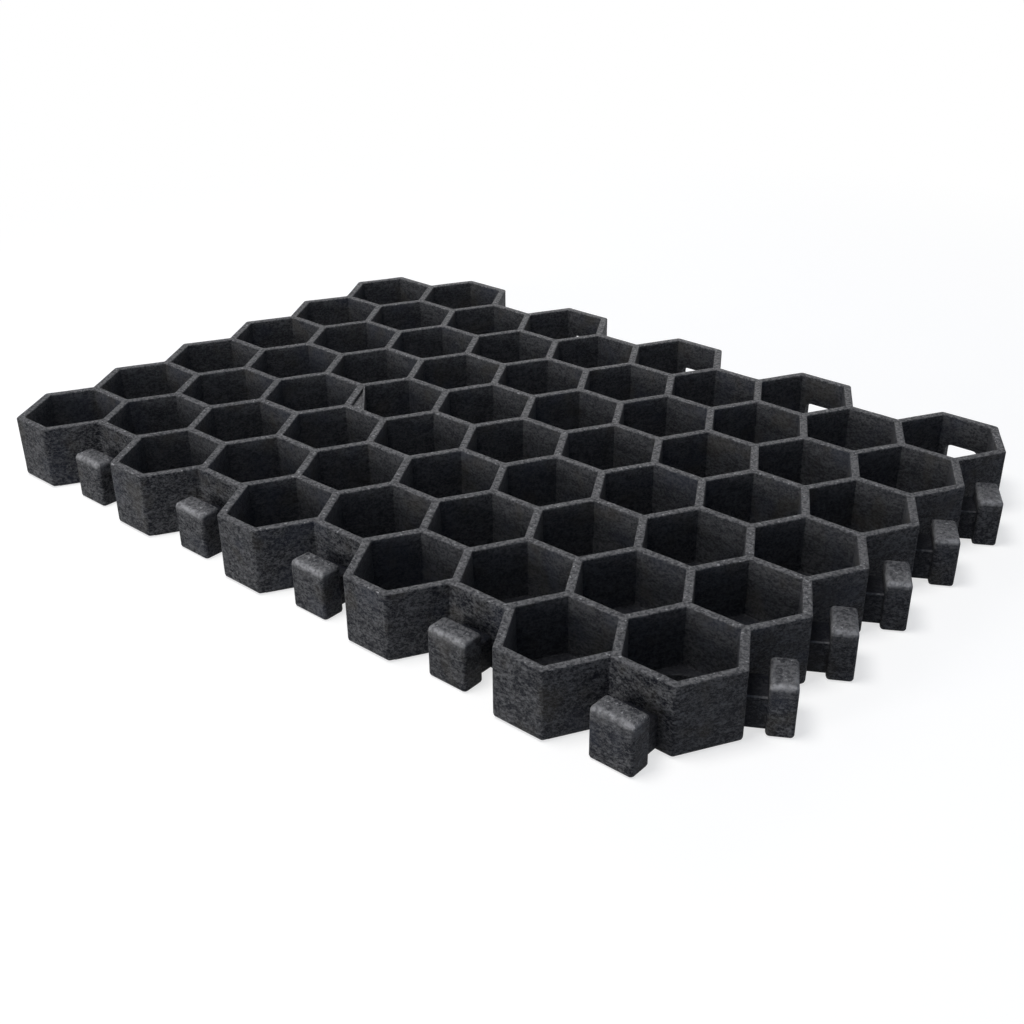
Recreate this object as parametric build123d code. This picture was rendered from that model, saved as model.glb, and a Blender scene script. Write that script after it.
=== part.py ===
from build123d import *
from math import atan2, degrees
import os

# Paddock slab: an open honeycomb plate moulded in one piece, millimetres, +Z up.
# Rows of cells follow each other along X, the cells of one row stand side by side along Y.
# The origin is the middle of the overall box, on the underside.

# Honeycomb
cell_pitch = 66.5
rows = 10
cells_per_row = 6
slab_height = 46.0
rim_width = 5.6
wall_draft = 1.0
outer_round = 3.0

# Floor plate of each cell
floor_thickness = 7.0
floor_hole_diameter = 51.0

# Connector: a neck on an outer wall that carries a block across its end
head_width = 29.0
head_thickness = 15.6
head_height = 33.5
head_offset = 11.5
neck_width = 22.0
neck_top = 23.2
neck_lift = 2.0
head_bevel = 1.5
weld_depth = 2.0

# Socket that takes the connector of the next slab
neck_clearance = 1.5
head_clearance = 2.0
slot_corner_radius = 5.0
slab_gap = 0.6

# Corner web across one inner cell
web_row = 3
web_cell = 2
web_width = 1.6
web_foot_shift = 5.0
pocket_drop = 3.0
pocket_hole_diameter = 2.4
pocket_hole_depth = 6.0
pocket_hole_inset = 2.9

# Values that follow from the dimensions above
row_pitch = cell_pitch * 3 ** 0.5 / 2
outer_apothem = (cell_pitch + rim_width) / 2
inner_apothem = (cell_pitch - rim_width) / 2
outer_corner = outer_apothem * 2 / 3 ** 0.5
inner_corner = inner_apothem * 2 / 3 ** 0.5
side_angle = 30.0
connector_reach = outer_apothem + head_offset + head_thickness
slot_width = neck_width + 2 * neck_clearance
slot_top = neck_top + neck_clearance
notch_width = head_width + 2 * head_clearance
notch_end = head_offset + head_thickness + head_clearance - slab_gap
wall_set_back = (rim_width + slab_gap) / 2

# The overall box, to centre the part
head_tip = Vector(connector_reach, head_bevel - head_width / 2)
x_low = outer_round * (2 / 3 ** 0.5 - 1) - outer_corner
x_high = (rows - 1) * row_pitch + head_tip.rotate(Axis.Z, side_angle).X
y_low = -outer_apothem
y_high = (cells_per_row - 1) * cell_pitch + cell_pitch / 2 + outer_apothem
x_shift = -(x_low + x_high) / 2
y_shift = -(y_low + y_high) / 2


def cell_centre(row, cell):
    offset = cell_pitch / 2 if row % 2 else 0.0
    return x_shift + row * row_pitch, y_shift + cell * cell_pitch + offset


def at_wall(row, cell, angle, shape):
    x, y = cell_centre(row, cell)
    return Pos(x, y, 0) * Rot(0, 0, angle) * shape


all_cells = [(row, cell) for row in range(rows) for cell in range(cells_per_row)]
odd_rows = range(1, rows, 2)
last_row = rows - 1
last_cell = cells_per_row - 1

# Outline of the honeycomb
outline = Sketch() + [
    Pos(*cell_centre(row, cell)) * RegularPolygon(outer_apothem, 6, major_radius=False)
    for row, cell in all_cells
]

# The slanting front walls step back, so that the slab in front fits between them with the same gap
wall_strip = Pos(outer_apothem, 0) * Rectangle(2 * wall_set_back, 2 * outer_corner)
front_strips = Sketch() + [
    at_wall(row, 0, angle, wall_strip)
    for row in range(0, rows, 2)
    for angle in (180 + side_angle, 360 - side_angle)
]
first_x, first_y = cell_centre(0, 0)
behind_front = Rectangle(2 * x_high, 2 * y_high, align=(Align.MIN, Align.MIN))
behind_front = Pos(first_x, first_y - rim_width / 2) * behind_front
outline = outline - (front_strips - behind_front)



def cells_around(corner):
    return sum((corner - Vector(*cell_centre(*place))).length < cell_pitch for place in all_cells)


# Solid plate, rounded at the outer corners that belong to a single cell
single_corners = [corner for corner in outline.vertices() if cells_around(Vector(corner)) == 1]
outline = fillet(single_corners, outer_round)
body = extrude(outline, slab_height)

# Hexagonal cells, narrowing downwards by the mould draft, and the round floor holes
cell_mouth = Pos(0, 0, slab_height) * RegularPolygon(inner_apothem, 6, major_radius=False)
cell_depth = slab_height - floor_thickness
cell_cutter = extrude(cell_mouth, -cell_depth, taper=wall_draft)
hole_cutter = Cylinder(floor_hole_diameter / 2, 3 * floor_thickness)
cell_cutters = [Pos(*cell_centre(row, cell)) * cell_cutter for row, cell in all_cells]
hole_cutters = [Pos(*cell_centre(row, cell)) * hole_cutter for row, cell in all_cells]
body = body - cell_cutters
body = body - hole_cutters

# One connector, drawn on the wall that faces +X
head_centre = outer_apothem + head_offset + head_thickness / 2
head = Pos(head_centre, 0, head_height / 2) * Box(head_thickness, head_width, head_height)
head = chamfer(head.edges().filter_by(Axis.Z), head_bevel)
head = chamfer(head.faces().sort_by(Axis.Z)[-1].edges(), head_bevel)
neck_length = head_offset + 2 * weld_depth
neck_height = neck_top - neck_lift
neck_centre = outer_apothem - weld_depth + neck_length / 2
neck = Pos(neck_centre, 0, neck_lift + neck_height / 2) * Box(neck_length, neck_width, neck_height)
connector = head + neck

# Connectors on the front walls of the odd rows and on the slanting walls of the last row
front_connectors = [at_wall(row, 0, -90, connector) for row in odd_rows]
side_connectors = [at_wall(last_row, cell, side_angle, connector) for cell in range(last_cell)]
body = body + front_connectors + side_connectors

# One socket, drawn on the wall that faces +X: a slot for the neck and a notch for the head
slot_face = Plane.YZ * Rectangle(slot_width, 2 * slot_top)
slot_face = fillet(slot_face.vertices().group_by(Axis.Z)[-1], slot_corner_radius)
slot_cut = Pos(outer_apothem - notch_end, 0, 0) * extrude(slot_face, notch_end + slab_gap)
notch_length = notch_end - rim_width
notch_centre = outer_apothem - rim_width - notch_length / 2
notch_cut = Pos(notch_centre, 0, 0) * Box(notch_length, notch_width, 3 * floor_thickness)
socket = slot_cut + notch_cut
back_sockets = [at_wall(row, last_cell, 90, socket) for row in odd_rows]
side_sockets = [at_wall(0, cell, 180 + side_angle, socket) for cell in range(1, cells_per_row)]
body = body - back_sockets - side_sockets

# A thin web across one corner of one cell, with a raised pocket floor and a small blind hole behind it
web_tip = Vector(-inner_corner, 0)
web_foot = Vector(-web_foot_shift, -inner_apothem)
pocket_corner = Vector(-inner_corner / 2, -inner_apothem)
web_run = web_foot - web_tip
web_angle = degrees(atan2(web_run.Y, web_run.X))
web_middle = (web_tip + web_foot) / 2
on_floor = (Align.CENTER, Align.CENTER, Align.MIN)
web_box = Box(web_run.length + 2 * weld_depth, web_width, slab_height, align=on_floor)
web = Pos(web_middle.X, web_middle.Y, 0) * Rot(0, 0, web_angle) * web_box
pocket_face = make_face(Polyline(web_tip, web_foot, pocket_corner, close=True))
pocket = extrude(pocket_face, slab_height - pocket_drop)
hole_spot = pocket_corner + (web_middle - pocket_corner).normalized() * pocket_hole_inset
blind_hole = Pos(hole_spot.X, hole_spot.Y, slab_height - pocket_drop)
blind_hole = blind_hole * Cylinder(pocket_hole_diameter / 2, 2 * pocket_hole_depth)
body = body + at_wall(web_row, web_cell, 0, web + pocket)
body = body - at_wall(web_row, web_cell, 0, blind_hole)

export_dir = "parts"
os.makedirs(export_dir, exist_ok=True)
export_step(body, os.path.join(export_dir, "paddock_slab.step"))
print("solids", len(body.solids()), "volume", round(body.volume), "box", body.bounding_box())
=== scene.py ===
import bpy
import bmesh
import math
from mathutils import Matrix, Vector, noise


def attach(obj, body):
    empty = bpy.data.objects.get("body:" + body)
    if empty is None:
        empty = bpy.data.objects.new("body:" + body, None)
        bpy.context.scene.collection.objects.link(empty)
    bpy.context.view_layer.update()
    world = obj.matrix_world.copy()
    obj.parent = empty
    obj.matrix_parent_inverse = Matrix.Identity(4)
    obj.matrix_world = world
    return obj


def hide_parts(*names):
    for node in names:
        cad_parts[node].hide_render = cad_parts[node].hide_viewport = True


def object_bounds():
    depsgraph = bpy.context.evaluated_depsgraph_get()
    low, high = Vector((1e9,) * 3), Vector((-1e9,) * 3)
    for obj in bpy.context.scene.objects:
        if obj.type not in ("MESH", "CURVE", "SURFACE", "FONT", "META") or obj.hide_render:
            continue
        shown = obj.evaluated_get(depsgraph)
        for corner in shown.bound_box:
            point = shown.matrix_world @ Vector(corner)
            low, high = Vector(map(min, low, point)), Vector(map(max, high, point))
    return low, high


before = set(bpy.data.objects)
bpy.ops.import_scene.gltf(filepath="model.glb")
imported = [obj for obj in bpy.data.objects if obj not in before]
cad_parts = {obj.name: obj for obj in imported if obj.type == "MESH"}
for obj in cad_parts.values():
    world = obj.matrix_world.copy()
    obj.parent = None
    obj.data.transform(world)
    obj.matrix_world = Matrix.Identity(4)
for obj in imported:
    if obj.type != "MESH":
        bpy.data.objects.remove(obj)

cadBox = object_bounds()
print("frame loaded")

# The slab in metres, with the sizes of its solid model and the finer ones of its surface
slabSize = {
    "cellPitch": 0.0665,
    "rowCount": 10,
    "cellsPerRow": 6,
    "height": 0.046,
    "rimWidth": 0.0056,
    "wallDraft": 1.0,  # degrees
    "outerRound": 0.003,
    "innerRound": 0.0005,
    "floorThickness": 0.007,
    "holeRadius": 0.0255,
    "laidGap": 0.0006,
    "rimRound": 0.001,
    "floorRound": 0.0012,
    "holeRound": 0.0012,
    "holeFootRound": 0.0008,
    "outerFootRound": 0.0024,
    "leastOuterRound": 0.0004,
    "hollowRound": 0.0006,  # of the inward corners of the outline
    "wallFootGap": 0.00005,  # least floor between a wall's foot and the edge of the hole
    "innerLevels": (0.78, 0.55, 0.32),  # of the rings on the walls, as shares of their height
    "outerLevels": (0.8, 0.6, 0.4, 0.2),
    "joinDistance": 0.00002,
    "sharpAngle": 50,
    "normalWeight": 90,
    "flatFoot": 0.002,  # up to this height the waviness leaves the slab flat
    # Each waviness has its scale, its depth and its start in the noise
    "waviness": ((38, 0.00022, (0, 0, 0)), (160, 0.00008, (3, 5, 7))),
    "wavinessSeed": 7,
}

# A connector: a neck that carries a block across its end
connectorSize = {
    "headWidth": 0.029,
    "headThickness": 0.0156,
    "headHeight": 0.0335,
    "headOffset": 0.0115,
    "headBevel": 0.0015,
    "sideRound": 0.0024,
    "topRound": 0.0030,
    "softTopRound": 0.0040,
    "headFootRound": 0.0015,
    "leastRound": 0.0006,
    "roundLoss": 0.75,  # how much of the top's inset the upright edges lose in radius
    "sideLevels": (0.35, 0.7),
    "neckWidth": 0.022,
    "neckTop": 0.0232,
    "neckLift": 0.002,
    "neckRound": 0.0012,
    "weldDepth": 0.002,
}

# A socket: the slot and the floor notch that take a connector
socketSize = {
    "neckClearance": 0.0015,
    "headClearance": 0.002,
    "cornerRadius": 0.005,
    "outerMargin": 0.001,  # how far the cut starts outside the wall
    "footMargin": 0.004,  # and how far under the slab
}

cellPitch = slabSize["cellPitch"]
rowPitch = cellPitch * math.sqrt(3) / 2
height = slabSize["height"]
outerApothem = (cellPitch + slabSize["rimWidth"]) / 2
innerApothem = (cellPitch - slabSize["rimWidth"]) / 2
outerCorner = outerApothem * 2 / math.sqrt(3)
headStart = outerApothem + connectorSize["headOffset"]
connectorReach = headStart + connectorSize["headThickness"]
socketReach = (
    connectorSize["headOffset"] + connectorSize["headThickness"]
    + socketSize["headClearance"] - slabSize["laidGap"]
)
sideAngle = math.radians(30)
lastRow = slabSize["rowCount"] - 1
lastCell = slabSize["cellsPerRow"] - 1
oddRows = range(1, lastRow + 1, 2)

headTip = (
    connectorReach * math.cos(sideAngle)
    + (connectorSize["headWidth"] / 2 - connectorSize["headBevel"]) * math.sin(sideAngle)
)
lowX = slabSize["outerRound"] * (2 / math.sqrt(3) - 1) - outerCorner
highX = lastRow * rowPitch + headTip
firstX = -(lowX + highX) / 2
firstY = -(lastCell * cellPitch + cellPitch / 2) / 2


def cellCentre(row, cell):
    return Vector((firstX + row * rowPitch, firstY + (cell + (row % 2) / 2) * cellPitch, 0))


def wallPlace(row, cell, angle):
    return Matrix.Translation(cellCentre(row, cell)) @ Matrix.Rotation(angle, 4, "Z")


# Rings: each hexagon side gives seven points, and each corner is an arc of four steps.
# All sides meet at 120 degrees, so an arc starts at the same share of its radius from its corner
pointsPerSide = 7
ringCount = 6 * pointsPerSide
arcShare = math.tan(math.pi / 6)


def ringPoints(corners, radii, z):
    points = []
    count = len(corners)
    for i in range(count):
        here, after, before = corners[i], corners[(i + 1) % count], corners[i - 1]
        radius, afterRadius = radii[i], radii[(i + 1) % count]
        ahead = (after - here).normalized()
        back = (before - here).normalized()
        afterAhead = (corners[(i + 2) % count] - after).normalized()
        start = here + ahead * radius * arcShare
        end = after - ahead * afterRadius * arcShare
        points += reversed(arcHalf(here, back, ahead, radius, ahead))
        points += [start, start.lerp(end, 1 / 3), start.lerp(end, 2 / 3), end]
        points.append(arcHalf(after, -ahead, afterAhead, afterRadius, -ahead)[0])
    return [Vector((point.x, point.y, z)) for point in points]


# Two points of a corner's arc: halfway from its end on one side to its middle, and the middle
def arcHalf(corner, back, ahead, radius, side):
    bisector = (back + ahead).normalized()
    centre = corner + bisector * radius / math.cos(math.pi / 6)
    touch = corner + side * radius * arcShare
    middle = centre - bisector * radius
    half = centre + ((middle + touch) / 2 - centre).normalized() * radius
    return half, middle


def hexCorners(apothem):
    reach = apothem * 2 / math.sqrt(3)
    turns = [k * math.pi / 3 for k in range(6)]
    return [Vector((reach * math.cos(turn), reach * math.sin(turn))) for turn in turns]


def hexRing(apothem, z, radius):
    return ringPoints(hexCorners(apothem), [radius] * 6, z)


def roundRing(radius, z):
    turns = [k * 2 * math.pi / ringCount for k in range(ringCount)]
    return [Vector((radius * math.cos(turn), radius * math.sin(turn), z)) for turn in turns]


# The border of a cell lies on the middle line of its walls, where neighbours share their points
def borderRing(z):
    corners = hexCorners(cellPitch / 2)
    shares = (0.0, 0.028, 0.056, 0.34, 0.66, 0.944, 0.972)
    points = []
    for k in range(6):
        for share in shares:
            point = corners[k].lerp(corners[(k + 1) % 6], share)
            points.append(Vector((point.x, point.y, z)))
    return points


def addRings(mesh, rings):
    made = [[mesh.verts.new(point) for point in ring] for ring in rings]
    for upper, lower in zip(made, made[1:]):
        joinRings(mesh, upper, lower)


def joinRings(mesh, upper, lower):
    count = len(upper)
    for i in range(count):
        mesh.faces.new((upper[i], upper[(i + 1) % count], lower[(i + 1) % count], lower[i]))


# A quarter of an arc, as pairs of distances: the first falls from the radius to none, the second grows to it
def arcSteps(radius, steps):
    turns = [k * math.pi / 2 / steps for k in range(steps + 1)]
    return [(radius * (1 - math.sin(turn)), radius * (1 - math.cos(turn))) for turn in turns]


def newObject(name, mesh):
    data = bpy.data.meshes.new(name)
    mesh.to_mesh(data)
    mesh.free()
    made = bpy.data.objects.new(name, data)
    bpy.context.scene.collection.objects.link(made)
    return made


# The plain mesh that an object's modifiers make
def evaluatedMesh(item):
    bpy.context.view_layer.update()
    shown = item.evaluated_get(bpy.context.evaluated_depsgraph_get())
    return bpy.data.meshes.new_from_object(shown)


# One cell: rim, drafted walls, floor, round hole and underside
def makeCell():
    mesh = bmesh.new()
    draft = math.tan(math.radians(slabSize["wallDraft"]))
    innerRound = slabSize["innerRound"]
    floorTop = slabSize["floorThickness"]
    hole = slabSize["holeRadius"]
    rings = [borderRing(height)]
    for outward, down in arcSteps(slabSize["rimRound"], 3):
        rings.append(hexRing(innerApothem + outward, height - down, innerRound + outward))
    for level in slabSize["innerLevels"]:
        z = floorTop + (height - floorTop) * level
        rings.append(hexRing(innerApothem - (height - z) * draft, z, innerRound))
    foot = innerApothem - (height - floorTop) * draft
    for up, inward in arcSteps(slabSize["floorRound"], 3):
        rings.append(hexRing(foot - inward, floorTop + up, innerRound))
    for outward, down in arcSteps(slabSize["holeRound"], 2):
        rings.append(roundRing(hole + outward, floorTop - down))
    for outward, up in reversed(arcSteps(slabSize["holeFootRound"], 2)):
        rings.append(roundRing(hole + outward, up))
    rings.append(borderRing(0))
    addRings(mesh, rings)
    return newObject("cellTile", mesh)


# A new node with its settings, and for each input, by name or number, a fixed value or a link
def addNode(tree, kind, inputs, **settings):
    node = tree.nodes.new(kind)
    for name, value in settings.items():
        setattr(node, name, value)
    for name, value in inputs.items():
        if isinstance(value, bpy.types.NodeSocket):
            tree.links.new(value, node.inputs[name])
        else:
            node.inputs[name].default_value = value
    return node


def calculate(tree, operation, *values, kind="ShaderNodeMath"):
    return addNode(tree, kind, dict(enumerate(values)), operation=operation).outputs[0]


# An empty group with named inputs, the identifiers of their sockets, and the values that they give
def newGroup(name, inputs):
    group = bpy.data.node_groups.new(name, "GeometryNodeTree")
    sockets = {}
    for label, kind in inputs.items():
        sockets[label] = group.interface.new_socket(label, in_out="INPUT", socket_type=kind).identifier
    group.interface.new_socket("Geometry", in_out="OUTPUT", socket_type="NodeSocketGeometry")
    return group, sockets, addNode(group, "NodeGroupInput", {}).outputs


# A group that lays a piece on a grid of staggered rows, joins the copies and gives them one material
def makeGridGroup():
    group, sockets, given = newGroup("staggeredGrid", {
        "Piece": "NodeSocketObject",
        "Rows": "NodeSocketInt",
        "Cells per row": "NodeSocketInt",
        "Cell pitch": "NodeSocketFloat",
        "First cell": "NodeSocketVector",
        "Join distance": "NodeSocketFloat",
        "Material": "NodeSocketMaterial",
    })
    index = addNode(group, "GeometryNodeInputIndex", {}).outputs[0]
    perRow, pitch = given["Cells per row"], given["Cell pitch"]
    count = calculate(group, "MULTIPLY", given["Rows"], perRow)
    row = calculate(group, "FLOOR", calculate(group, "DIVIDE", index, perRow))
    cell = calculate(group, "MODULO", index, perRow)
    stagger = calculate(group, "MULTIPLY", calculate(group, "MODULO", row, 2), 0.5)
    rowStep = calculate(group, "MULTIPLY", row, math.sqrt(3) / 2)
    along = calculate(group, "MULTIPLY", rowStep, pitch)
    across = calculate(group, "MULTIPLY", calculate(group, "ADD", cell, stagger), pitch)
    place = addNode(group, "ShaderNodeCombineXYZ", {"X": along, "Y": across}).outputs[0]
    moved = calculate(group, "ADD", place, given["First cell"], kind="ShaderNodeVectorMath")
    finishGroup(group, given, count, moved, joined=True)
    return group, sockets


# A group that sets turned copies of a piece in a straight run
def makeRunGroup():
    group, sockets, given = newGroup("straightRun", {
        "Piece": "NodeSocketObject",
        "Copies": "NodeSocketInt",
        "Start": "NodeSocketVector",
        "Step": "NodeSocketVector",
        "Turn": "NodeSocketFloat",
        "Material": "NodeSocketMaterial",
    })
    index = addNode(group, "GeometryNodeInputIndex", {}).outputs[0]
    scaled = addNode(
        group, "ShaderNodeVectorMath", {0: given["Step"], "Scale": index}, operation="SCALE"
    ).outputs[0]
    moved = calculate(group, "ADD", scaled, given["Start"], kind="ShaderNodeVectorMath")
    turn = addNode(group, "ShaderNodeCombineXYZ", {"Z": given["Turn"]}).outputs[0]
    finishGroup(group, given, given["Copies"], moved, turn=turn)
    return group, sockets


# Both groups end alike: copies on points, made real, joined where asked, with the material
def finishGroup(group, given, count, place, turn=None, joined=False):
    points = addNode(group, "GeometryNodePoints", {"Count": count, "Position": place}).outputs[0]
    piece = addNode(group, "GeometryNodeObjectInfo", {"Object": given["Piece"]}).outputs["Geometry"]
    onPoints = {"Points": points, "Instance": piece}
    if turn is not None:
        onPoints["Rotation"] = addNode(group, "FunctionNodeEulerToRotation", {0: turn}).outputs[0]
    copies = addNode(group, "GeometryNodeInstanceOnPoints", onPoints).outputs[0]
    shape = addNode(group, "GeometryNodeRealizeInstances", {0: copies}).outputs[0]
    if joined:
        merging = {"Geometry": shape, "Distance": given["Join distance"]}
        shape = addNode(group, "GeometryNodeMergeByDistance", merging).outputs[0]
    painting = {"Geometry": shape, "Material": given["Material"]}
    painted = addNode(group, "GeometryNodeSetMaterial", painting).outputs[0]
    addNode(group, "NodeGroupOutput", {0: painted})


# Runs a group once and gives its result back as a plain mesh
def runGroup(group, sockets, values):
    host = newObject("host", bmesh.new())
    modifier = host.modifiers.new("build", "NODES")
    modifier.node_group = group
    for name, value in values.items():
        modifier[sockets[name]] = value
    made = evaluatedMesh(host)
    bpy.data.objects.remove(host)
    return made


# Mottled dark plastic. Upward faces at the top are painted paler as painted top light, low upward faces and
# the necks are painted darker as painted shade, and most of all one top edge of each connector is painted
# pale as wear and painted highlight
plasticLook = {
    "darkTone": (0.0019, 0.0027, 0.0062, 1),
    "lightTone": (0.123, 0.1245, 0.130, 1),
    "blueTint": (0.030, 0.036, 0.056, 1),
    "brownTint": (0.056, 0.050, 0.040, 1),
    # tones of the upward faces at the top: painted top light, with grain and bright specks
    "rimDark": (0.020, 0.021, 0.026, 1),
    "rimTone": (0.140, 0.140, 0.145, 1),
    "speckTone": (0.40, 0.40, 0.41, 1),
    # pale tone of the edges that are worn and painted with a highlight
    "wearHighlightTone": (0.36, 0.36, 0.37, 1),
    "roughness": 0.6,
    "specular": 0.12,
    "bumpStrength": 0.8,
    "bumpDistance": 0.0006,
    # Noises: scale, detail, roughness, distortion, stretch of each axis, and the range that is drawn out
    "fineGrain": (600, 3, 0.8, 0.5, (0.85, 0.85, 1.15), (0.31, 0.69)),
    "mediumGrain": (320, 3, 0.7, 0.8, (0.7, 0.7, 1.4), (0.33, 0.68)),
    "broadGrain": (110, 3, 0.65, 0.5, (0.6, 0.6, 1.8), (0.36, 0.68)),
    "bluePatches": (34, 2, 0.5, 0, (1, 1, 1), (0.5, 0.72)),
    "brownPatches": (45, 2, 0.5, 0, (1.3, 1, 1), (0.52, 0.72)),
    "rimGrain": (460, 3, 0.65, 0.4, (1, 1, 1), (0.37, 0.62)),
    "rimSpecks": (410, 2, 0.5, 0, (1.1, 1, 1), (0.64, 0.72)),
    "scuffs": (300, 3, 0.65, 0, (1, 1, 1), (0.34, 0.6)),
    # How the noises and masks weigh in
    "fineShare": 0.56,
    "mediumShare": 0.28,
    "broadShare": 0.16,
    "streakRange": (0.2, 0.84),
    "insideCalm": 0.5,
    "insideLevel": 0.35,
    "patchShare": 0.34,
    "upRange": (0.35, 0.85),
    "topHeights": (0.027, 0.029),
    "rimShare": 0.92,
    "speckShare": 0.7,
    # shares of the painted shade: on low upward faces, then on and around the necks
    "floorShadeShare": 0.7,
    "paintedShadeShare": 0.75,
    "leastScuff": 0.35,
}


def newMaterial(name):
    material = bpy.data.materials.new(name)
    material.use_nodes = True
    material.node_tree.nodes.clear()
    return material, material.node_tree


def makePlastic():
    look = plasticLook
    material, tree = newMaterial("mottledPlastic")
    place = addNode(tree, "ShaderNodeTexCoord", {}).outputs["Object"]

    def ramp(value, span, start=0.0):
        inputs = {"Value": value, "From Min": span[0], "From Max": span[1], "To Min": start}
        node = addNode(tree, "ShaderNodeMapRange", inputs, clamp=True, interpolation_type="SMOOTHSTEP")
        return node.outputs["Result"]

    def noiseOf(name, start=0.0):
        scale, detail, rough, distortion, stretch, span = look[name]
        stretched = addNode(tree, "ShaderNodeMapping", {"Scale": stretch, "Vector": place}).outputs[0]
        node = addNode(tree, "ShaderNodeTexNoise", {
            "Vector": stretched,
            "Scale": scale,
            "Detail": detail,
            "Roughness": rough,
            "Distortion": distortion,
        })
        return ramp(node.outputs["Fac"], span, start)

    def product(first, second):
        return calculate(tree, "MULTIPLY", first, second)

    def mix(share, first, second):
        return addNode(tree, "ShaderNodeMix", {0: share, 6: first, 7: second}, data_type="RGBA").outputs[2]

    def attribute(name):
        return addNode(tree, "ShaderNodeAttribute", {}, attribute_name=name).outputs["Fac"]

    def zOf(vector):
        return addNode(tree, "ShaderNodeSeparateXYZ", {0: vector}).outputs["Z"]

    fine = product(noiseOf("fineGrain"), look["fineShare"])
    medium = product(noiseOf("mediumGrain"), look["mediumShare"])
    broad = product(noiseOf("broadGrain"), look["broadShare"])
    strands = calculate(tree, "ADD", calculate(tree, "ADD", fine, medium), broad)
    streaks = ramp(strands, look["streakRange"])
    calm = product(attribute("inside"), look["insideCalm"])
    kept = product(streaks, calculate(tree, "SUBTRACT", 1, calm))
    streaks = calculate(tree, "ADD", kept, product(calm, look["insideLevel"]))
    tone = mix(streaks, look["darkTone"], look["lightTone"])
    tone = mix(product(noiseOf("bluePatches"), look["patchShare"]), tone, look["blueTint"])
    tone = mix(product(noiseOf("brownPatches"), look["patchShare"]), tone, look["brownTint"])

    # Painted top light: upward faces at rim height and above are painted paler, with grain and bright specks
    facingUp = ramp(zOf(addNode(tree, "ShaderNodeNewGeometry", {}).outputs["Normal"]), look["upRange"])
    litTopMask = product(facingUp, ramp(zOf(place), look["topHeights"]))
    litTopTone = mix(noiseOf("rimGrain"), look["rimDark"], look["rimTone"])
    tone = mix(product(litTopMask, look["rimShare"]), tone, litTopTone)
    specks = product(litTopMask, noiseOf("rimSpecks"))
    tone = mix(product(specks, look["speckShare"]), tone, look["speckTone"])
    # Painted shade: low upward faces, the cell floors and the neck tops, are painted darker
    shadedFloorMask = product(facingUp, ramp(zOf(place), look["topHeights"][::-1]))
    tone = mix(product(shadedFloorMask, look["floorShadeShare"]), tone, look["darkTone"])

    # Wear and painted highlight: the front-facing top edge of each head, broken by scuff noise
    scuffedHighlight = product(attribute("wearAndHighlight"), noiseOf("scuffs", look["leastScuff"]))
    # Painted shade: the necks and the recess between each head and the wall are painted dark
    tone = mix(product(attribute("paintedShade"), look["paintedShadeShare"]), tone, look["darkTone"])
    tone = mix(scuffedHighlight, tone, look["wearHighlightTone"])

    bump = addNode(tree, "ShaderNodeBump", {
        "Strength": look["bumpStrength"],
        "Distance": look["bumpDistance"],
        "Height": streaks,
    })
    shader = addNode(tree, "ShaderNodeBsdfPrincipled", {
        "Base Color": tone,
        "Roughness": look["roughness"],
        "Specular IOR Level": look["specular"],
        "Normal": bump.outputs[0],
    })
    addNode(tree, "ShaderNodeOutputMaterial", {"Surface": shader.outputs[0]})
    return material


plastic = makePlastic()
print("material made")

cellTile = makeCell()
gridGroup, gridSockets = makeGridGroup()
gridMesh = runGroup(gridGroup, gridSockets, {
    "Piece": cellTile,
    "Rows": slabSize["rowCount"],
    "Cells per row": slabSize["cellsPerRow"],
    "Cell pitch": cellPitch,
    "First cell": cellCentre(0, 0),
    "Join distance": slabSize["joinDistance"],
    "Material": plastic,
})
bpy.data.objects.remove(cellTile)
print("cells laid", len(gridMesh.vertices))


# The slanting front walls step back at their full width, so inside the front cells their faces move in.
# Each corner beside such a wall slides along its other wall, and the points between follow their share
def stepBackInside(mesh):
    fullStep = (slabSize["rimWidth"] + slabSize["laidGap"]) / 2
    holeEdge = slabSize["holeRadius"] + slabSize["holeRound"]
    wallStart = holeEdge + slabSize["rimRound"]
    wallEnd = innerApothem + 1.5 * slabSize["rimRound"]
    corners = hexCorners(1)
    slides = [Vector((0, 0)) for corner in corners]
    for corner, towards in ((0, 1), (3, 2), (4, 5), (5, 4)):
        slides[corner] = (corners[towards] - corners[corner]).normalized() * 2 / math.sqrt(3)
    for row in range(0, lastRow + 1, 2):
        centre = cellCentre(row, 0)
        for vert in mesh.verts:
            offset = (vert.co - centre).xy
            if offset.length > outerCorner:
                continue
            k = int(math.atan2(offset.y, offset.x) // (math.pi / 3)) % 6
            first, second = corners[k], corners[(k + 1) % 6]
            span = first.x * second.y - first.y * second.x
            partA = (offset.x * second.y - offset.y * second.x) / span
            partB = (first.x * offset.y - first.y * offset.x) / span
            apothem = partA + partB
            if wallStart < apothem < wallEnd:
                step = min(fullStep, apothem - holeEdge - slabSize["wallFootGap"])
                slide = (slides[k] * partA + slides[(k + 1) % 6] * partB) / apothem * step
                vert.co += Vector((slide.x, slide.y, 0))


# The open edge at one height as a loop of points, counter-clockwise, from a corner
def openLoop(mesh, z):
    tolerance = 1e-5
    ahead = {}
    for edge in mesh.edges:
        if edge.is_boundary and all(abs(vert.co.z - z) < tolerance for vert in edge.verts):
            for vert, other in (edge.verts, reversed(edge.verts)):
                ahead.setdefault(vert, []).append(other)
    start = min(ahead, key=lambda vert: (vert.co.x, vert.co.y))
    loop, previous, here = [], None, start
    while True:
        loop.append(here)
        step = [vert for vert in ahead[here] if vert is not previous][0]
        previous, here = here, step
        if here is start:
            break
    area = sum(a.co.x * b.co.y - b.co.x * a.co.y for a, b in zip(loop, loop[1:] + loop[:1]))
    if area < 0:
        loop = [loop[0]] + loop[:0:-1]
    return loop


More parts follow.
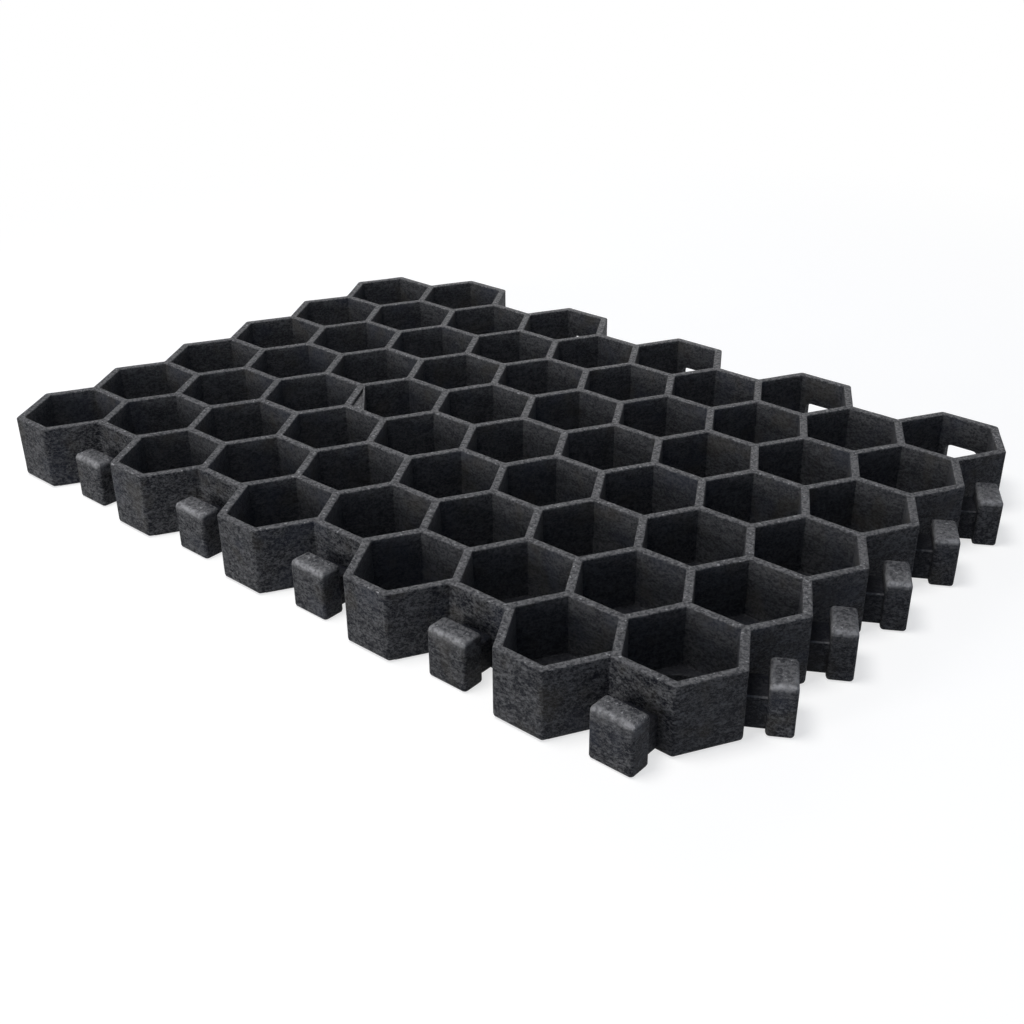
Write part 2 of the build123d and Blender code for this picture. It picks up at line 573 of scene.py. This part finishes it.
# Outer faces: the open edges move out to the faces, and rings close the wall between them
def closeOutside(mesh):
    top, bottom = openLoop(mesh, height), openLoop(mesh, 0)
    corners = [vert.co.xy for vert in top[::pointsPerSide]]
    count = len(corners)
    shifts = []
    turns = []
    for i in range(count):
        side = corners[(i + 1) % count] - corners[i]
        outward = Vector((side.y, -side.x)).normalized()
        middle = (corners[i] + corners[(i + 1) % count]) / 2
        slantingFront = outward.y < -0.4 and abs(outward.x) > 0.5
        steppedBack = slantingFront and middle.y < firstY
        shifts.append((outward, -slabSize["laidGap"] / 2 if steppedBack else slabSize["rimWidth"] / 2))
    for i in range(count):
        before = (corners[i] - corners[i - 1]).normalized()
        ahead = (corners[(i + 1) % count] - corners[i]).normalized()
        turns.append(before.x * ahead.y - before.y * ahead.x > 0)

    def ring(inset, z):
        moved = []
        for i in range(count):
            normalA, shiftA = shifts[i - 1]
            normalB, shiftB = shifts[i]
            a, b = shiftA - inset, shiftB - inset
            cross = normalA.x * normalB.y - normalA.y * normalB.x
            offset = Vector((a * normalB.y - b * normalA.y, b * normalA.x - a * normalB.x)) / cross
            moved.append(corners[i] + offset)
        outerRound = max(slabSize["outerRound"] - inset, slabSize["leastOuterRound"])
        hollowRound = slabSize["hollowRound"] + inset
        return ringPoints(moved, [outerRound if turn else hollowRound for turn in turns], z)

    rimRound, footRound = slabSize["rimRound"], slabSize["outerFootRound"]
    for vert, point in zip(top, ring(rimRound, height)):
        vert.co = point
    for vert, point in zip(bottom, ring(footRound, 0)):
        vert.co = point
    levels = [(inset, height - down) for inset, down in arcSteps(rimRound, 3)[1:]]
    levels += [(0, height * share) for share in slabSize["outerLevels"]]
    levels += [(inset, up) for inset, up in reversed(arcSteps(footRound, 3)[1:])]
    rings = [top]
    for inset, z in levels:
        rings.append([mesh.verts.new(point) for point in ring(inset, z)])
    rings.append(bottom)
    for upper, lower in zip(rings, rings[1:]):
        joinRings(mesh, upper, lower)


shell = bmesh.new()
shell.from_mesh(gridMesh)
stepBackInside(shell)
closeOutside(shell)
bmesh.ops.recalc_face_normals(shell, faces=shell.faces)
print("outer walls closed, open edges", sum(edge.is_boundary for edge in shell.edges))
slab = newObject("paddockSlab", shell)


# The arched slot that a socket cuts through the wall, drawn on the wall that faces +X
def makeSlotCutter():
    mesh = bmesh.new()
    half = connectorSize["neckWidth"] / 2 + socketSize["neckClearance"]
    top = connectorSize["neckTop"] + socketSize["neckClearance"]
    radius, steps = socketSize["cornerRadius"], 6
    profile = [(half, -socketSize["footMargin"])]
    for k in range(steps + 1):
        turn = k * math.pi / 2 / steps
        profile.append((half - radius + radius * math.cos(turn), top - radius + radius * math.sin(turn)))
    profile += [(-y, z) for y, z in reversed(profile)]
    ends = (outerApothem + socketSize["outerMargin"], outerApothem - socketReach)
    rings = [[mesh.verts.new((x, y, z)) for y, z in profile] for x in ends]
    joinRings(mesh, rings[0], rings[1])
    mesh.faces.new(rings[0])
    mesh.faces.new(rings[1])
    bmesh.ops.recalc_face_normals(mesh, faces=mesh.faces)
    return newObject("slotCutter", mesh)


# The notch that a socket cuts in the floor behind the wall, drawn like the slot
def makeNotchCutter():
    mesh = bmesh.new()
    width = connectorSize["headWidth"] + 2 * socketSize["headClearance"]
    length = socketReach - slabSize["rimWidth"]
    middle = outerApothem - slabSize["rimWidth"] - length / 2
    scale = Matrix.Diagonal((length, width, 3 * slabSize["floorThickness"], 1))
    bmesh.ops.create_cube(mesh, size=1, matrix=Matrix.Translation((middle, 0, 0)) @ scale)
    return newObject("notchCutter", mesh)


def cutSockets(target):
    places = [wallPlace(row, lastCell, math.pi / 2) for row in oddRows]
    places += [wallPlace(0, cell, math.pi + sideAngle) for cell in range(1, lastCell + 1)]
    for maker in (makeSlotCutter, makeNotchCutter):
        cutter = maker()
        whole = bmesh.new()
        for place in places:
            copy = cutter.data.copy()
            copy.transform(place)
            whole.from_mesh(copy)
        cutters = newObject("cutter", whole)
        modifier = target.modifiers.new("cut", "BOOLEAN")
        modifier.operation = "DIFFERENCE"
        modifier.solver = "MANIFOLD"
        modifier.object = cutters
        result = evaluatedMesh(target)
        target.modifiers.clear()
        target.data = result
        bpy.data.objects.remove(cutters)
        bpy.data.objects.remove(cutter)


cutSockets(slab)
print("sockets cut", len(slab.data.polygons))


# A block with all edges rounded
def roundedBlock(mesh, low, high, radius, steps):
    size = Vector(high) - Vector(low)
    place = Matrix.Translation((Vector(low) + Vector(high)) / 2) @ Matrix.Diagonal((*size, 1))
    made = bmesh.ops.create_cube(mesh, size=1, matrix=place)
    edges = dict.fromkeys(edge for vert in made["verts"] for edge in vert.link_edges)  # each once, in order
    bmesh.ops.bevel(
        mesh, geom=list(edges), offset=radius, segments=steps,
        profile=0.5, affect="EDGES", clamp_overlap=True,
    )


# The head: a block whose top edge is rounded most on one side, given by its turn
def makeHead(mesh, softTurn):
    near, far = headStart, connectorReach
    half = connectorSize["headWidth"] / 2
    top = connectorSize["headHeight"]
    topRound, softRound = connectorSize["topRound"], connectorSize["softTopRound"]
    softSide = Vector((math.cos(softTurn), math.sin(softTurn)))
    corners = ((far, -half, -90), (far, half, 0), (near, half, 90), (near, -half, 180))
    sideSteps, topSteps = 4, 5

    def ring(spread, rise, foot=0.0, level=None):
        points = []
        for cornerX, cornerY, start in corners:
            for k in range(sideSteps + 1):
                turn = math.radians(start + k * 90 / sideSteps)
                facing = Vector((math.cos(turn), math.sin(turn)))
                size = topRound + (softRound - topRound) * max(facing.dot(softSide), 0)
                inset = size * spread + foot
                radius = connectorSize["sideRound"] - inset * connectorSize["roundLoss"]
                radius = max(radius, connectorSize["leastRound"])
                x = cornerX + (radius + inset if cornerX == near else -radius - inset) + radius * facing.x
                y = cornerY + (radius + inset if cornerY < 0 else -radius - inset) + radius * facing.y
                z = top - size * (1 - rise) if level is None else level
                points.append(mesh.verts.new((x, y, z)))
        return points

    rings = [ring(0, 0, inset, up) for inset, up in arcSteps(connectorSize["headFootRound"], 2)]
    rings += [ring(0, 0, 0, top * share) for share in connectorSize["sideLevels"]]
    for k in range(topSteps + 1):
        turn = k * math.pi / 2 / topSteps
        rings.append(ring(1 - math.cos(turn), math.sin(turn)))
    for lower, upper in zip(rings, rings[1:]):
        joinRings(mesh, upper, lower)
    mesh.faces.new(rings[0])
    mesh.faces.new(rings[-1])


def makeConnector(softTurn):
    mesh = bmesh.new()
    makeHead(mesh, softTurn)
    half = connectorSize["neckWidth"] / 2
    low = (outerApothem - connectorSize["weldDepth"], -half, connectorSize["neckLift"])
    high = (headStart + 2 * connectorSize["weldDepth"], half, connectorSize["neckTop"])
    roundedBlock(mesh, low, high, connectorSize["neckRound"], 3)
    bmesh.ops.recalc_face_normals(mesh, faces=mesh.faces)
    return newObject("connector", mesh)


runTree, runSockets = makeRunGroup()


# A run of connectors, all turned alike
def setConnectors(softTurn, copies, start, step, turn):
    connector = makeConnector(softTurn)
    made = runGroup(runTree, runSockets, {
        "Piece": connector,
        "Copies": copies,
        "Start": start,
        "Step": Vector(step),
        "Turn": turn,
        "Material": plastic,
    })
    bpy.data.objects.remove(connector)
    return made


frontRun = setConnectors(0, len(oddRows), cellCentre(1, 0), (2 * rowPitch, 0, 0), -math.pi / 2)
sideRun = setConnectors(-math.pi / 2, lastCell, cellCentre(lastRow, 0), (0, cellPitch, 0), sideAngle)
print("connectors set", len(frontRun.vertices), len(sideRun.vertices))

# The thin web across one corner of one cell, with a raised pocket floor and a blind hole behind it
webSize = {
    "row": 3,
    "cell": 2,
    "width": 0.0016,
    "footShift": 0.005,
    "edgeRound": 0.0005,
    "pocketDrop": 0.003,
    "pocketFoot": 0.001,
    "holeRadius": 0.0012,
    "holeDepth": 0.006,
    "holeInset": 0.0029,
    "holeSides": 12,
}


def makeWeb():
    mesh = bmesh.new()
    innerCorner = innerApothem * 2 / math.sqrt(3)
    tip = Vector((-innerCorner, 0))
    foot = Vector((-webSize["footShift"], -innerApothem))
    corner = Vector((-innerCorner / 2, -innerApothem))
    across = foot - tip
    middle = (tip + foot) / 2
    halfLength = (across.length + 2 * connectorSize["weldDepth"]) / 2
    halfWidth = webSize["width"] / 2
    low, high = (-halfLength, -halfWidth, 0), (halfLength, halfWidth, height)
    roundedBlock(mesh, low, high, webSize["edgeRound"], 2)
    turn = Matrix.Rotation(math.atan2(across.y, across.x), 4, "Z")
    place = Matrix.Translation((middle.x, middle.y, 0)) @ turn
    bmesh.ops.transform(mesh, matrix=place, verts=mesh.verts)

    top = height - webSize["pocketDrop"]
    outline = [tip, corner, foot]
    outer = [mesh.verts.new((point.x, point.y, top)) for point in outline]
    lower = [mesh.verts.new((point.x, point.y, webSize["pocketFoot"])) for point in outline]
    mesh.faces.new(list(reversed(lower)))
    joinRings(mesh, lower, outer)

    spot = corner + (middle - corner).normalized() * webSize["holeInset"]
    radius, sides = webSize["holeRadius"], webSize["holeSides"]
    turns = [k * 2 * math.pi / sides for k in range(sides)]
    rings = []
    for z in (top, top - webSize["holeDepth"]):
        ring = [(spot.x + radius * math.cos(turn), spot.y + radius * math.sin(turn), z) for turn in turns]
        rings.append([mesh.verts.new(point) for point in ring])
    joinRings(mesh, rings[1], rings[0])
    mesh.faces.new(rings[1])
    edges = [mesh.edges.get((a, b)) for a, b in zip(outer, outer[1:] + outer[:1])]
    edges += [mesh.edges.get((a, b)) for a, b in zip(rings[0], rings[0][1:] + rings[0][:1])]
    bmesh.ops.triangle_fill(mesh, use_beauty=True, edges=edges)
    bmesh.ops.recalc_face_normals(mesh, faces=mesh.faces)
    made = newObject("web", mesh)
    made.data.transform(Matrix.Translation(cellCentre(webSize["row"], webSize["cell"])))
    return made


# Everything joins into one piece, which gets a slight moulding waviness and stays inside its box
def joinPieces(target, meshes):
    whole = bmesh.new()
    for mesh in meshes:
        whole.from_mesh(mesh)
    noise.seed_set(slabSize["wavinessSeed"])
    lowest, highest = cadBox
    for vert in whole.verts:
        shift = Vector()
        for scale, depth, start in slabSize["waviness"]:
            shift += noise.noise_vector(vert.co * scale + Vector(start)) * depth
        if vert.co.z < slabSize["flatFoot"]:
            shift.z = 0
        point = vert.co + shift
        for axis in range(3):
            point[axis] = min(max(point[axis], lowest[axis]), highest[axis])
        vert.co = point
    whole.to_mesh(target.data)
    whole.free()


# One material, and smooth shading between the sharp edges
def finishSurface(target):
    target.data.materials.clear()
    target.data.materials.append(plastic)
    for polygon in target.data.polygons:
        polygon.use_smooth = True
        polygon.material_index = 0
    weighted = target.modifiers.new("weighted", "WEIGHTED_NORMAL")
    weighted.weight = slabSize["normalWeight"]
    weighted.keep_sharp = True
    target.data.set_sharp_from_angle(angle=math.radians(slabSize["sharpAngle"]))
    finished = evaluatedMesh(target)
    target.modifiers.clear()
    target.data = finished


web = makeWeb()
joinPieces(slab, [slab.data, frontRun, sideRun, web.data])
bpy.data.objects.remove(web)
finishSurface(slab)

# Where the surface differs, in metres
markSize = {
    "rimMargin": 0.0007,  # how far below the rim the inside of a cell starts
    "wallMargin": 0.0006,  # how far past a cell's walls its inside still counts
    "lineInset": 0.0012,  # of the line of most wear and painted highlight, in from the edge of a head
    "reach": 0.0036,  # of the wear and painted highlight around that line
    "neckReach": 0.0009,
    "neckWearHighlight": 0.4,
    "shadeMargin": 0.0005,
    "margin": 0.001,  # around a connector
}


# Whether a point lies on the walls or floor inside a cell: the nearest cell of the rows beside it tells
def isInside(point):
    if point.z > height - markSize["rimMargin"]:
        return False
    rowPlace = (point.x - firstX) / rowPitch
    for row in (math.floor(rowPlace), math.ceil(rowPlace)):
        cell = round((point.y - firstY) / cellPitch - (row % 2) / 2)
        if 0 <= row <= lastRow and 0 <= cell <= lastCell:
            offset = point - cellCentre(row, cell)
            reaches = [
                abs(offset.x * math.cos(turn) + offset.y * math.sin(turn))
                for turn in (math.pi / 6, math.pi / 2, math.pi * 5 / 6)
            ]
            if max(reaches) < innerApothem + markSize["wallMargin"]:
                return True
    return False


# Per point: wear and painted highlight, most along the front-facing top edge of every head, painted shade on
# and around the necks, and whether it lies inside a cell. The side necks also get wear and painted highlight
# along one top edge
def addWearHighlightAndShade(data):
    half, top = connectorSize["headWidth"] / 2, connectorSize["headHeight"]
    neckHalf, neckTop = connectorSize["neckWidth"] / 2, connectorSize["neckTop"]
    inset, margin = markSize["lineInset"], markSize["margin"]
    places = [(wallPlace(row, 0, -math.pi / 2), True) for row in oddRows]
    places += [(wallPlace(lastRow, cell, sideAngle), False) for cell in range(lastCell)]
    places = [(place.inverted(), onFront) for place, onFront in places]
    wearAndHighlightValues = [0.0] * len(data.vertices)
    paintedShadeValues = [0.0] * len(data.vertices)
    inside = [float(isInside(vert.co)) for vert in data.vertices]
    for i, vert in enumerate(data.vertices):
        if vert.co.z > top + margin:
            continue
        for place, onFront in places:
            local = place @ vert.co
            within = outerApothem - margin < local.x < connectorReach + margin
            if not within or abs(local.y) > half + margin:
                continue
            # Wear and painted highlight along the top edge toward the front lamps: the outer face of the
            # front heads, the -Y side of the side heads
            across = local.x - connectorReach if onFront else -half - local.y
            distance = math.hypot(across + inset, local.z - (top - inset))
            wearAndHighlightValues[i] = max(0.0, 1 - distance / markSize["reach"])
            # Painted shade on the neck and in the recess between the head and the wall
            if local.x < headStart + markSize["shadeMargin"] and local.z < neckTop + margin:
                paintedShadeValues[i] = 1.0
            # Wear and painted highlight as a pale line along the front-facing top edge of each side neck
            neckEdge = math.hypot(local.y + neckHalf, local.z - neckTop)
            if not onFront and neckEdge < markSize["neckReach"]:
                wearAndHighlightValues[i] = markSize["neckWearHighlight"]
    for name, values in (("wearAndHighlight", wearAndHighlightValues), ("paintedShade", paintedShadeValues), ("inside", inside)):
        data.attributes.new(name, "FLOAT", "POINT").data.foreach_set("value", values)


addWearHighlightAndShade(slab.data)
triangles = sum(len(polygon.vertices) - 2 for polygon in slab.data.polygons)
print("one piece made, triangles", triangles)
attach(slab, "root")
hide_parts("paddock_slab")

# Floor and studio
studio = {
    "floorSize": 6.0,
    "floorDrop": 0.0004,
    "floorTone": (0.3, 0.3, 0.31, 1),
    "seenTone": (0.4, 0.4, 0.4, 1),
    "seenGlow": 0.68,
    "fadeStart": 0.5,
    "fadeEnd": 1.0,
    "shadeDrop": 0.0002,
    "shadeInset": 0.002,
    "shadeTone": (0.02, 0.02, 0.022, 1),
    "worldTone": (0.50, 0.68, 1.0, 1),
    "worldStrength": 0.18,
    "lampTone": (1.0, 0.98, 0.95),
    # Lamps: direction and height in degrees, distance, power and size
    "keyLight": (250, 74, 2.2, 32.0, 0.9),
    "frontLight": (257, 10, 2.4, 24.0, 0.8),
    "backLight": (125, 22, 2.4, 14.0, 1.2),
}


# The rays that see the white background: from the camera, from gloss and through glass
def seenRays(tree):
    path = addNode(tree, "ShaderNodeLightPath", {})
    seen = path.outputs["Is Camera Ray"]
    for name in ("Is Glossy Ray", "Is Transmission Ray"):
        seen = calculate(tree, "MAXIMUM", seen, path.outputs[name])
    return seen


def mixShaders(tree, share, first, second):
    return addNode(tree, "ShaderNodeMixShader", {0: share, 1: first, 2: second}).outputs[0]


# A pale floor, which shows the slab's shadow near by and fades to plain white further out
def makeFloorMaterial():
    material, tree = newMaterial("paleFloor")
    matte = addNode(tree, "ShaderNodeBsdfDiffuse", {"Color": studio["floorTone"]}).outputs[0]
    lit = addNode(tree, "ShaderNodeBsdfDiffuse", {"Color": studio["seenTone"]}).outputs[0]
    glow = addNode(tree, "ShaderNodeEmission", {"Strength": studio["seenGlow"]}).outputs[0]
    shadowed = addNode(tree, "ShaderNodeAddShader", {0: lit, 1: glow}).outputs[0]
    white = addNode(tree, "ShaderNodeEmission", {"Strength": 1}).outputs[0]
    place = addNode(tree, "ShaderNodeTexCoord", {}).outputs["Object"]
    distance = addNode(tree, "ShaderNodeVectorMath", {0: place}, operation="LENGTH").outputs["Value"]
    fade = addNode(tree, "ShaderNodeMapRange", {
        "Value": distance,
        "From Min": studio["fadeStart"],
        "From Max": studio["fadeEnd"],
    }).outputs["Result"]
    seen = mixShaders(tree, fade, shadowed, white)
    surface = mixShaders(tree, seenRays(tree), matte, seen)
    addNode(tree, "ShaderNodeOutputMaterial", {"Surface": surface})
    return material


def makeFloor():
    mesh = bmesh.new()
    bmesh.ops.create_grid(mesh, x_segments=1, y_segments=1, size=studio["floorSize"] / 2)
    floor = newObject("floor", mesh)
    floor.location.z = -studio["floorDrop"]
    floor.data.materials.append(makeFloorMaterial())


# The ground under the slab: dark hexagons as painted shade for the ground that lies in its shade
def makeShade():
    mesh = bmesh.new()
    corners = hexCorners(cellPitch / 2 - studio["shadeInset"])
    for row in range(lastRow + 1):
        for cell in range(lastCell + 1):
            centre = cellCentre(row, cell).xy
            outline = [centre + corner for corner in corners]
            mesh.faces.new([mesh.verts.new((p.x, p.y, -studio["shadeDrop"])) for p in outline])
    shade = newObject("shadedGround", mesh)
    material, tree = newMaterial("shadedGround")
    matte = addNode(tree, "ShaderNodeBsdfDiffuse", {"Color": studio["shadeTone"]}).outputs[0]
    addNode(tree, "ShaderNodeOutputMaterial", {"Surface": matte})
    shade.data.materials.append(material)


def makeWorld():
    world = bpy.data.worlds.new("studio")
    bpy.context.scene.world = world
    world.use_nodes = True
    tree = world.node_tree
    tree.nodes.clear()
    softLight = {"Color": studio["worldTone"], "Strength": studio["worldStrength"]}
    soft = addNode(tree, "ShaderNodeBackground", softLight).outputs[0]
    white = addNode(tree, "ShaderNodeBackground", {"Color": (1, 1, 1, 1)}).outputs[0]
    surface = mixShaders(tree, seenRays(tree), soft, white)
    addNode(tree, "ShaderNodeOutputWorld", {"Surface": surface})


# A soft round lamp, placed by the direction and height angle that it shines from
def addLamp(name, azimuth, elevation, distance, power, size):
    data = bpy.data.lights.new(name, "AREA")
    data.shape = "DISK"
    data.size = size
    data.energy = power
    data.color = studio["lampTone"]
    light = bpy.data.objects.new(name, data)
    turn, lift = math.radians(azimuth), math.radians(elevation)
    facing = Vector((math.cos(lift) * math.cos(turn), math.cos(lift) * math.sin(turn), math.sin(lift)))
    light.location = facing * distance
    light.rotation_euler = (-facing).to_track_quat("-Z", "Y").to_euler()
    light.visible_camera = False
    bpy.context.scene.collection.objects.link(light)


makeFloor()
makeShade()
makeWorld()
for name in ("keyLight", "frontLight", "backLight"):
    addLamp(name, *studio[name])
print("studio made")

# The photograph's camera. Its place is in cell pitches, from the middle of the first cell at rim height
photoView = {
    "sensorWidth": 36,
    "lens": 46.776,
    "clipStart": 0.01,
    "right": (0.7621, 0.64742, -0.00758),
    "forward": (-0.57052, 0.66595, -0.48065),
    "place": (12.5367, -7.1246, 6.0699),
}


def makeCamera():
    data = bpy.data.cameras.new("photoCamera")
    data.sensor_width = photoView["sensorWidth"]
    data.lens = photoView["lens"]
    data.clip_start = photoView["clipStart"]
    camera = bpy.data.objects.new("photoCamera", data)
    right = Vector(photoView["right"]).normalized()
    forward = Vector(photoView["forward"]).normalized()
    up = right.cross(forward).normalized()
    turned = Matrix((right, up, -forward)).transposed().to_4x4()
    x, y, z = photoView["place"]
    place = (firstX + cellPitch * x, firstY + cellPitch * y, height + cellPitch * z)
    camera.matrix_world = Matrix.Translation(place) @ turned
    bpy.context.scene.collection.objects.link(camera)
    bpy.context.scene.camera = camera


makeCamera()
bpy.context.scene.view_settings.view_transform = "Standard"
